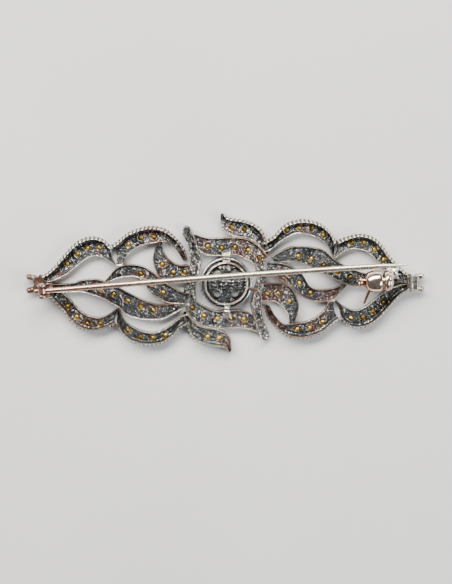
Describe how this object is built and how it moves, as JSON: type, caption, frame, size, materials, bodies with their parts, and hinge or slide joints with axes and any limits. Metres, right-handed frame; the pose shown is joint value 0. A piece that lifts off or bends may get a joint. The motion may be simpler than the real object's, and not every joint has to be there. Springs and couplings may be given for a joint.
{
  "type": "brooch",
  "caption": "Openwork silver scroll bar brooch set with marcasites and pale centre stones; hinged pin stem and turning sleeve safety catch on the back.",
  "frame": {"origin": "middle of the brooch on the plane that its front rests on", "axes": "+X along the bar from the pin's hinge to the catch, +Y across the bar, +Z out of the back, towards the wearer"},
  "size_m": [0.07, 0.025, 0.0065],
  "materials": {
    "oxidised_silver": "rough cast, darkened silver with bright rubbed edges",
    "bright_silver": "polished silver, lightly tarnished",
    "warm_metal": "worn plated pin wire, warm where the plating is thin",
    "marcasite": "dark golden faceted pyrite",
    "paste_stone": "clear paste, slightly grey-green"
  },
  "bodies": {
    "frame": {"catch_body": "bright_silver", "catch_foot": "bright_silver", "centre_ring": "oxidised_silver", "centre_setting": "oxidised_silver", "centre_stones": "paste_stone", "hinge_joint": "bright_silver", "left_crescent": "oxidised_silver", "left_inner_lobe_lower": "oxidised_silver", "left_inner_lobe_upper": "oxidised_silver", "left_lower_marcasites": "marcasite", "left_outer_lobe_lower": "oxidised_silver", "left_outer_lobe_upper": "oxidised_silver", "left_s_ribbon_lower": "oxidised_silver", "left_s_ribbon_upper": "oxidised_silver", "left_scroll_marcasites": "marcasite", "left_side_fold": "oxidised_silver", "left_terminal": "oxidised_silver", "left_upper_marcasites": "marcasite", "lower_band": "oxidised_silver", "lower_band_marcasites": "marcasite", "lower_leaf": "oxidised_silver", "lower_leaf_marcasites": "marcasite", "lower_strap": "bright_silver", "right_crescent": "oxidised_silver", "right_inner_lobe_lower": "oxidised_silver", "right_inner_lobe_upper": "oxidised_silver", "right_lower_marcasites": "marcasite", "right_outer_lobe_lower": "oxidised_silver", "right_outer_lobe_upper": "oxidised_silver", "right_s_ribbon_lower": "oxidised_silver", "right_s_ribbon_upper": "oxidised_silver", "right_scroll_marcasites": "marcasite", "right_side_fold": "oxidised_silver", "right_terminal": "oxidised_silver", "right_upper_marcasites": "marcasite", "side_strip": "bright_silver", "upper_band": "oxidised_silver", "upper_band_marcasites": "marcasite", "upper_bridge": "bright_silver", "upper_leaf": "oxidised_silver", "upper_leaf_marcasites": "marcasite"},
    "rivet": {"hinge_rivet": "bright_silver"},
    "pin": {"pin_stem": "warm_metal"},
    "sleeve": {"catch_rotor": "bright_silver"}
  },
  "joints": [
    {"name": "pin_side_play", "type": "hinge", "parent": "frame", "child": "rivet", "pos_m": [-0.032, -0.001, 0.0041], "axis": [0, 0, 1], "range_deg": [-2.57, 0]},
    {"name": "pin_swing", "type": "hinge", "parent": "rivet", "child": "pin", "pos_m": [-0.032, -0.001, 0.0041], "axis": [0.072, -0.9974, 0], "range_deg": [0, 95]},
    {"name": "catch_turn", "type": "hinge", "parent": "frame", "child": "sleeve", "pos_m": [0.0266, 0.0006, 0.0046], "axis": [-0.9999, -0.0162, 0], "range_deg": [0, 120]}
  ]
}
